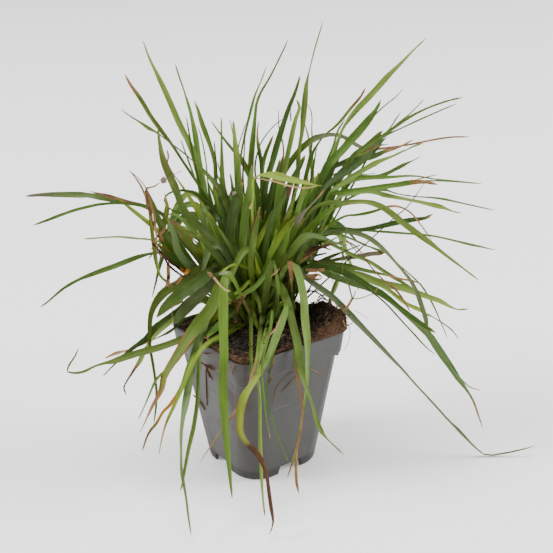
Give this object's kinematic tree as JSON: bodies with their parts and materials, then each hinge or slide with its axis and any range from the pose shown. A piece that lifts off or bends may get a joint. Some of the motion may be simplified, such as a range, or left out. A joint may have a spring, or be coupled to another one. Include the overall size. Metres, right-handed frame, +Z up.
{
  "type": "potted ornamental grass",
  "caption": "Clump of arching ornamental grass leaves growing in soil in a square tapered nursery pot with a deep collar and corner feet.",
  "frame": {"origin": "centre of the pot's underside, on the surface that the pot stands on", "axes": "+Z up; +X and +Y parallel to the pot's sides, the -X and -Y sides facing the picture's viewer"},
  "size_m": [0.3089, 0.285, 0.2961],
  "materials": {
    "pot_plastic": "moulded, semi-matte, dusty",
    "peat_soil": "moist peat and bark with matted roots",
    "grass_leaf": "living grass leaf, satin",
    "young_shoot": "living shoot, satin"
  },
  "bodies": {
    "root": {"leaf_front_01": "grass_leaf", "leaf_front_02": "grass_leaf", "leaf_front_03": "grass_leaf", "leaf_front_04": "grass_leaf", "leaf_front_05": "grass_leaf", "leaf_left_01": "grass_leaf", "leaf_left_02": "grass_leaf", "leaf_left_03": "grass_leaf", "leaf_left_04": "grass_leaf", "leaf_left_05": "grass_leaf", "leaf_left_06": "grass_leaf", "leaf_left_07": "grass_leaf", "leaf_left_08": "grass_leaf", "leaf_left_09": "grass_leaf", "leaf_low_01": "grass_leaf", "leaf_low_02": "grass_leaf", "leaf_low_03": "grass_leaf", "leaf_low_04": "grass_leaf", "leaf_low_05": "grass_leaf", "leaf_low_06": "grass_leaf", "leaf_middle_01": "grass_leaf", "leaf_middle_02": "grass_leaf", "leaf_right_01": "grass_leaf", "leaf_right_02": "grass_leaf", "leaf_right_03": "grass_leaf", "leaf_right_04": "grass_leaf", "leaf_right_05": "grass_leaf", "leaf_right_06": "grass_leaf", "leaf_right_07": "grass_leaf", "leaf_right_08": "grass_leaf", "leaf_top_01": "grass_leaf", "leaf_top_02": "grass_leaf", "leaf_top_03": "grass_leaf", "leaf_top_04": "grass_leaf", "leaf_top_05": "grass_leaf", "leaf_top_06": "grass_leaf", "leaf_top_07": "grass_leaf", "leaf_upright_01": "grass_leaf", "leaf_upright_02": "grass_leaf", "leaf_upright_03": "grass_leaf", "leaf_upright_04": "grass_leaf", "leaf_upright_05": "grass_leaf", "leaf_upright_06": "grass_leaf", "leaf_upright_07": "grass_leaf", "leaf_upright_08": "grass_leaf", "pot": "pot_plastic", "side_shoot": "young_shoot", "soil": "peat_soil", "tuft_back_left": "grass_leaf", "tuft_back_middle": "grass_leaf", "tuft_back_right": "grass_leaf", "tuft_front": "grass_leaf", "tuft_left": "grass_leaf", "tuft_middle": "grass_leaf", "tuft_right": "grass_leaf", "tuft_right_low": "grass_leaf", "tuft_top_left": "grass_leaf", "tuft_top_right": "grass_leaf"}
  },
  "joints": []
}
